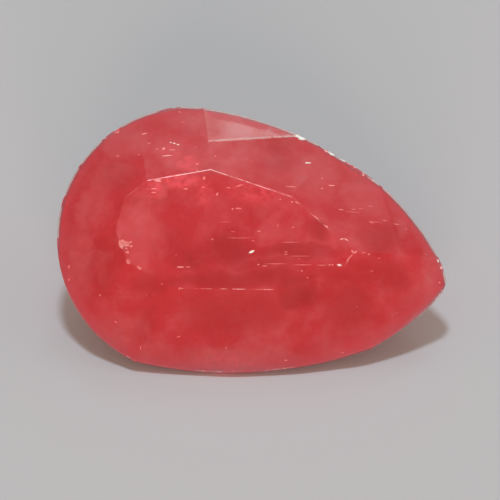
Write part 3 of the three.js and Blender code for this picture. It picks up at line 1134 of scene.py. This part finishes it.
    @staticmethod
    def between(tree: Tree, low: object, high: object, seed: object) -> bpy.types.NodeSocket:
        """Return a number drawn for each point between two others, mostly near the lower."""
        draw = tree.add("FunctionNodeRandomValue", data_type="FLOAT")
        tree.put(draw.inputs["Seed"], seed)
        share = tree.math("POWER", draw.outputs[1], 2.0)
        span = tree.math("SUBTRACT", high, low)
        return tree.math("ADD", low, tree.math("MULTIPLY", span, share))

    def marks(self) -> bpy.types.Object:
        """Make the loose points that stand over the known marks."""
        mesh = bpy.data.meshes.new("marks")
        mesh.from_pydata([(m.x, m.y, self.looking_down_from) for m in MARKS], [], [])
        size = mesh.attributes.new("size", "FLOAT_VECTOR", "POINT").data
        along = mesh.attributes.new("along", "FLOAT_VECTOR", "POINT").data
        for index, mark in enumerate(MARKS):
            turn = math.radians(mark.turn)
            size[index].vector = (mark.length, mark.width, mark.width * self.depth_share)
            along[index].vector = (math.cos(turn), math.sin(turn), 0.0)
        return placed("marks", mesh)

    def note_frost(self, mesh: bpy.types.Mesh) -> None:
        """Note on each broken face how frosted the mark that it belongs to is."""
        frost = mesh.attributes.new(FROST, "FLOAT", "FACE").data
        for face in mesh.polygons:
            if face.material_index == CHIP:
                nearest = min(MARKS, key=lambda mark: mark.away(face.center))
                own = nearest.away(face.center) < 0.0 < face.center.z
                frost[face.index].value = nearest.frost if own else self.stray_frost

    def flakes(self, stone: bpy.types.Mesh, finish: bpy.types.Material) -> bpy.types.Mesh:
        """Make the flakes for a stone.

        Args:
            stone: The stone's mesh, in its own frame.
            finish: The finish that the flakes leave behind.

        Returns:
            All the flakes as one mesh.
        """
        marks = self.marks()
        carrier = placed("flake_field", stone.copy())
        modifier = carrier.modifiers.new("flakes", "NODES")
        modifier.node_group = self.tree()
        values = {
            "Marks": marks, "Strays per area": self.strays_per_area, "Seed": self.seed,
            "Shortest": self.stray_length[0], "Longest": self.stray_length[1],
            "Thinnest": self.stray_width[0], "Widest": self.stray_width[1],
            "Raggedness": self.raggedness, "Finish": finish,
        }
        for item in modifier.node_group.interface.items_tree:
            if item.name in values:
                modifier[item.identifier] = values[item.name]
        flakes = plain_mesh(carrier)
        bpy.data.objects.remove(carrier)
        bpy.data.objects.remove(marks)
        return flakes


def placed(name: str, mesh: bpy.types.Mesh) -> bpy.types.Object:
    """Return a new object for a mesh, in the scene."""
    piece = bpy.data.objects.new(name, mesh)
    bpy.context.scene.collection.objects.link(piece)
    return piece


def plain_mesh(piece: bpy.types.Object) -> bpy.types.Mesh:
    """Return a piece's mesh with its modifiers applied."""
    graph = bpy.context.evaluated_depsgraph_get()
    graph.update()
    return bpy.data.meshes.new_from_object(piece.evaluated_get(graph), depsgraph=graph)


# ---- The stone ----


SAME_CORNER = 0.0005
SAME_FACET = math.radians(0.3)
CHIP_AREA = 0.004
CHIP_ROUNDNESS = 0.008
SHORT_EDGE = 0.09
SLIGHT_EDGE = math.radians(1.5)
THIN_FACET = 0.015
LEVEL = 0.999
UPRIGHT = 0.02
SHOULDER_REACH = 0.15
CROWN_SLOPE = 0.1
CUT_CLEARANCE = 0.002
CUT_MERGE = 0.001
FADE_ACROSS = 0.4


@dataclass
class Gemstone:
    """The cut stone, worn and dressed."""

    name: str = "worn_rhodonite"
    lie: Lie = field(default_factory=Lie)
    polished: PolishedFinish = field(default_factory=PolishedFinish)
    worn: WornAndHighlitFinish = field(default_factory=WornAndHighlitFinish)
    broken: BrokenFinish = field(default_factory=BrokenFinish)
    shaded: ShadedFinish = field(default_factory=ShadedFinish)
    flakes: FlakeField = field(default_factory=FlakeField)
    rim_width: float = 0.048
    shade_width: float = 0.035
    rim_start: float = -0.6
    # rim frost: partly a painted highlight along the outline at the back
    rim_frost_and_highlight: float = 0.85
    least_edge: float = 0.0002
    tidy_rounds: int = 4
    edge_steps: int = 4
    edge_piece: float = 0.10
    shoulder: tuple[Triple, Triple] = ((-0.01, 2.39, 0.66), (2.35, 3.10, 0.10))

    def build(self) -> bpy.types.Object:
        """Make the stone's mesh from the frame's node, and dress it.

        Returns:
            The stone, as a piece of the frame.
        """
        finishes = [finish.material(self.lie)
                    for finish in (self.polished, self.worn, self.broken, self.shaded)]
        mesh, edges = self.cut_stone()
        for finish in finishes:
            mesh.materials.append(finish)
        mesh = self.with_worn_edges(mesh)
        self.wear_rim(mesh, edges)
        mesh = self.with_marks(mesh, self.flakes.flakes(mesh, finishes[CHIP]))
        self.flakes.note_frost(mesh)
        self.note_wear(mesh, edges)
        mesh.transform(self.lie.placing())
        stone = placed(self.name, mesh)
        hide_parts(STONE_NODE)
        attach(stone, STONE_BODY)
        return stone

    def cut_stone(self) -> tuple[bpy.types.Mesh, list[CutEdge]]:
        """Return the stone as it was cut, with whole facets, and its edges."""
        shape = bmesh.new()
        shape.from_mesh(frame["nodes"][STONE_NODE].data)
        shape.transform(self.lie.placing().inverted())
        bmesh.ops.remove_doubles(shape, verts=shape.verts, dist=SAME_CORNER)
        bmesh.ops.dissolve_limit(shape, angle_limit=SAME_FACET, verts=shape.verts,
                                 edges=shape.edges)
        width = shape.edges.layers.float.new("bevel_weight_edge")
        for face in shape.faces:
            if self.is_chip(face):
                face.material_index = CHIP
        kinds = {edge: self.kind_of(edge) for edge in shape.edges}
        kinds = {edge: kind for edge, kind in kinds.items() if kind is not Edge.FRESH}
        edges = [CutEdge(*(vertex.co.copy() for vertex in edge.verts), kind)
                 for edge, kind in kinds.items()]
        log.info("cut stone: %d facets, %d edges", len(shape.faces), len(edges))
        widest = max(kind.width for kind in Edge)
        for edge, kind in kinds.items():
            for piece in self.in_pieces(edge):
                piece[width] = kind.width / widest
        mesh = bpy.data.meshes.new("cut_stone")
        shape.to_mesh(mesh)
        shape.free()
        return mesh, edges

    @staticmethod
    def is_chip(face: bmesh.types.BMFace) -> bool:
        """Return whether a face is one of the small, compact ones inside a chip."""
        area = face.calc_area()
        return area < CHIP_AREA and area > CHIP_ROUNDNESS * face.calc_perimeter() ** 2

    def in_pieces(self, edge: bmesh.types.BMEdge) -> list[bmesh.types.BMEdge]:
        """Cut an edge into short pieces, and return them."""
        near, far = edge.verts
        pieces: list[bmesh.types.BMEdge] = []
        for left in range(math.ceil(edge.calc_length() / self.edge_piece), 1, -1):
            other, near = bmesh.utils.edge_split(edge, near, 1 / left)
            done, edge = (edge, other) if far in other.verts else (other, edge)
            pieces.append(done)
        return [*pieces, edge]

    def kind_of(self, edge: bmesh.types.BMEdge) -> Edge:
        """Return what kind of edge lies between two faces."""
        if edge.calc_length() < SHORT_EDGE or edge.calc_face_angle(0.0) < SLIGHT_EDGE:
            return Edge.FRESH
        if any(face.calc_area() < THIN_FACET * face.calc_perimeter()
               for face in edge.link_faces):
            return Edge.FRESH
        heights = sorted(face.normal.z for face in edge.link_faces)
        if heights[1] > LEVEL:
            return Edge.TABLE
        upright = [abs(height) < UPRIGHT for height in heights]
        if any(upright):
            return Edge.FRESH if all(upright) else Edge.GIRDLE
        if heights[1] < 0.0:
            return Edge.PAVILION
        middle = (edge.verts[0].co + edge.verts[1].co) / 2
        start, end = (Vector(corner) for corner in self.shoulder)
        if CutEdge(start, end, Edge.SHOULDER).distance(middle) < SHOULDER_REACH:
            return Edge.SHOULDER
        return Edge.CROWN

    def with_worn_edges(self, mesh: bpy.types.Mesh) -> bpy.types.Mesh:
        """Return the mesh with each edge rounded as wide as its kind has worn."""
        piece = placed("edges", mesh)
        round_off = piece.modifiers.new("worn_edges", "BEVEL")
        round_off.limit_method = "WEIGHT"
        round_off.offset_type = "WIDTH"
        round_off.width = max(kind.width for kind in Edge)
        round_off.segments = self.edge_steps
        round_off.use_clamp_overlap = False
        round_off.material = WORN
        worn = plain_mesh(piece)
        bpy.data.objects.remove(piece)
        return worn

    def on_rim(self, edge: CutEdge) -> bool:
        """Return whether an edge is part of the worn rim, which runs round the back."""
        middle = (edge.start + edge.end) / 2
        return edge.kind is Edge.GIRDLE and middle.z > 0.0 and middle.y > self.rim_start

    def wear_rim(self, mesh: bpy.types.Mesh, edges: list[CutEdge]) -> None:
        """Cut the worn rim and the painted dark line of shade inside it along the girdle at the
        back.
        """
        shape = bmesh.new()
        shape.from_mesh(mesh)
        planes = []
        for edge in filter(self.on_rim, edges):
            out = (edge.end - edge.start).cross(Vector((0.0, 0.0, 1.0))).normalized()
            planes.append((edge.start, out if out.dot(edge.start) > 0.0 else -out))
        depths = (self.rim_width, self.rim_width + self.shade_width)
        for place, out in planes:
            for depth in depths:
                self.slice(shape, place - out * depth, out)
        for face in shape.faces:
            if face.material_index == POLISH and face.normal.z > CROWN_SLOPE:
                centre = face.calc_center_median()
                inside = min((place - centre).dot(out) for place, out in planes)
                if inside < depths[0]:
                    face.material_index = WORN
                elif inside < depths[1]:
                    face.material_index = SHADED
        shape.to_mesh(mesh)
        shape.free()

    @staticmethod
    def slice(shape: bmesh.types.BMesh, place: Vector, out: Vector) -> None:
        """Cut the polished crown faces that a plane goes through, along it."""
        across = []
        for face in shape.faces:
            if face.material_index == POLISH and face.normal.z > CROWN_SLOPE:
                sides = [(corner.co - place).dot(out) for corner in face.verts]
                if min(sides) < -CUT_CLEARANCE and max(sides) > CUT_CLEARANCE:
                    across.append(face)
        parts = {part for face in across for part in (face, *face.edges, *face.verts)}
        bmesh.ops.bisect_plane(shape, geom=list(parts), dist=CUT_MERGE, plane_co=place,
                               plane_no=out)

    def with_marks(self, mesh: bpy.types.Mesh, flakes: bpy.types.Mesh) -> bpy.types.Mesh:
        """Return the mesh with flakes cut out of it, each in its own finish."""
        log.info("flakes: %d faces", len(flakes.polygons))
        cutter = placed("cutter", flakes)
        piece = placed("marked", mesh)
        cut = piece.modifiers.new("marks", "BOOLEAN")
        cut.operation = "DIFFERENCE"
        cut.solver = "MANIFOLD"
        cut.material_mode = "TRANSFER"
        cut.object = cutter
        marked = plain_mesh(piece)
        bpy.data.objects.remove(piece)
        bpy.data.objects.remove(cutter)
        shape = bmesh.new()
        shape.from_mesh(marked)
        bmesh.ops.triangulate(shape, faces=shape.faces)
        for _ in range(self.tidy_rounds):
            self.close_up(shape)
        self.drop_crumbs(shape)
        for face in shape.faces:
            face.smooth = face.material_index == WORN
        left = sum(len(edge.link_faces) != 2 for edge in shape.edges)
        log.info("crowded edges left: %d", left)
        shape.to_mesh(marked)
        shape.free()
        return marked

    @staticmethod
    def drop_crumbs(shape: bmesh.types.BMesh) -> None:
        """Delete whatever the marks have cut loose, so that only the stone itself is left."""
        left = set(shape.faces)
        lumps = []
        while left:
            lump, front = set(), [left.pop()]
            while front:
                face = front.pop()
                lump.add(face)
                around = {other for edge in face.edges for other in edge.link_faces} & left
                left -= around
                front.extend(around)
            lumps.append(lump)
        for lump in sorted(lumps, key=len)[:-1]:
            bmesh.ops.delete(shape, geom=list(lump), context="FACES")
        log.info("loose crumbs dropped: %d", len(lumps) - 1)

    def close_up(self, shape: bmesh.types.BMesh) -> None:
        """Close up the corners, slivers and edges that are too small to count."""
        short = [edge for edge in shape.edges if edge.calc_length() < self.least_edge]
        bmesh.ops.collapse(shape, edges=short)
        bmesh.ops.remove_doubles(shape, verts=shape.verts, dist=self.least_edge)
        crowded = [edge for edge in shape.edges if len(edge.link_faces) != 2]
        bmesh.ops.collapse(shape, edges=crowded)
        stray_edges = [edge for edge in shape.edges if not edge.link_faces]
        bmesh.ops.delete(shape, geom=stray_edges, context="EDGES")
        stray_corners = [corner for corner in shape.verts if not corner.link_faces]
        bmesh.ops.delete(shape, geom=stray_corners, context="VERTS")

    def note_wear(self, mesh: bpy.types.Mesh, edges: list[CutEdge]) -> None:
        """Write how frosted the stone is at each vertex of its worn edges, painted highlights
        included.
        """
        wear = mesh.attributes.new(EDGE_WEAR_AND_HIGHLIGHT, "FLOAT", "POINT")
        rounded = {
            index for face in mesh.polygons
            if face.material_index == WORN for index in face.vertices
        }
        for index in rounded:
            point = mesh.vertices[index].co
            edge = min(edges, key=lambda edge: edge.distance(point))
            frost = max(edge.kind.frost, *(rub_and_highlight.reach(point) for rub_and_highlight in RUBS_AND_HIGHLIGHTS))
            off_centre = min(1.0, edge.distance(point) / max(edge.kind.width, 0.001))
            frost *= 1.0 - FADE_ACROSS * off_centre
            wear.data[index].value = max(frost, self.rim_frost_and_highlight) if self.on_rim(edge) else frost


# ---- The studio ----


@dataclass(frozen=True)
class Lamp:
    """One round soft light that faces the stone.

    Args:
        name: The light's name.
        azimuth: Its direction from +Y towards +X, in degrees.
        elevation: Its direction above the floor, in degrees.
        breadth: How wide it looks from the stone, in degrees.
        radiance: How bright its face is.
        colour: Its colour.
        mirrored: Whether it shows in the stone's polish.
    """

    name: str
    azimuth: float
    elevation: float
    breadth: float
    radiance: float
    colour: Colour = (1.0, 1.0, 1.0)
    mirrored: bool = True
    distance: float = 300.0

    def build(self) -> None:
        """Hang the light."""
        across = 2 * self.distance * math.tan(math.radians(self.breadth / 2)) * MM
        light = bpy.data.lights.new(self.name, "AREA")
        light.shape = "DISK"
        light.size = across
        light.color = self.colour
        light.energy = self.radiance * math.pi * math.pi * (across / 2) ** 2
        lamp = bpy.data.objects.new(self.name, light)
        azimuth, elevation = math.radians(self.azimuth), math.radians(self.elevation)
        direction = Vector((
            math.sin(azimuth) * math.cos(elevation),
            math.cos(azimuth) * math.cos(elevation),
            math.sin(elevation),
        ))
        lamp.location = direction * self.distance * MM
        lamp.rotation_euler = direction.to_track_quat("Z", "Y").to_euler()
        lamp.visible_glossy = self.mirrored
        lamp.visible_transmission = self.mirrored
        bpy.context.scene.collection.objects.link(lamp)


LAMPS = (
    Lamp("overhead", azimuth=-33.0, elevation=86.4, breadth=8.6, radiance=74.0,
         colour=(0.775, 0.91, 1.0)),
    Lamp("window", azimuth=14.0, elevation=49.0, breadth=10.0, radiance=4.4,
         colour=(0.75, 1.0, 0.98)),
    Lamp("back_panel", azimuth=5.0, elevation=55.0, breadth=60.0, radiance=0.22),
    Lamp("front_fill", azimuth=180.0, elevation=14.0, breadth=32.0, radiance=7.6,
         colour=(1.0, 0.80, 0.68), mirrored=False),
    Lamp("side_fill", azimuth=80.0, elevation=20.0, breadth=50.0, radiance=0.35,
         mirrored=False),
)


@dataclass(frozen=True)
class Studio:
    """The floor and the light."""

    floor_size: float = 400.0
    floor_colour: Colour = (0.588, 0.576, 0.611)
    room_colour: Colour = (1.0, 0.88, 0.67)
    room_strength: float = 0.305

    def build(self) -> None:
        """Build the floor, the room's light and the lamps."""
        half = self.floor_size * MM / 2
        mesh = bpy.data.meshes.new("floor")
        corners = [(-half, -half, 0), (half, -half, 0), (half, half, 0), (-half, half, 0)]
        mesh.from_pydata(corners, [], [(0, 1, 2, 3)])
        floor = placed("floor", mesh)
        material = bpy.data.materials.new("floor_paper")
        material.use_nodes = True
        tree = Tree(material.node_tree)
        tree.feed(material.node_tree.nodes["Principled BSDF"],
                  Base_Color=opened(self.floor_colour), Roughness=0.9, Specular_IOR_Level=0.0)
        mesh.materials.append(material)

        world = bpy.data.worlds.new("room")
        world.use_nodes = True
        background = world.node_tree.nodes["Background"]
        background.inputs["Color"].default_value = opened(self.room_colour)
        background.inputs["Strength"].default_value = self.room_strength
        bpy.context.scene.world = world
        for lamp in LAMPS:
            lamp.build()


def main() -> None:
    """Build the camera, the stone and the studio."""
    logging.basicConfig(level=logging.INFO)
    SIGHT.camera.build()
    stone = Gemstone().build()
    log.info("%s: %d faces", stone.name, len(stone.data.polygons))
    Studio().build()
    bpy.context.scene.view_settings.view_transform = "Standard"


if __name__ == "__main__":
    main()
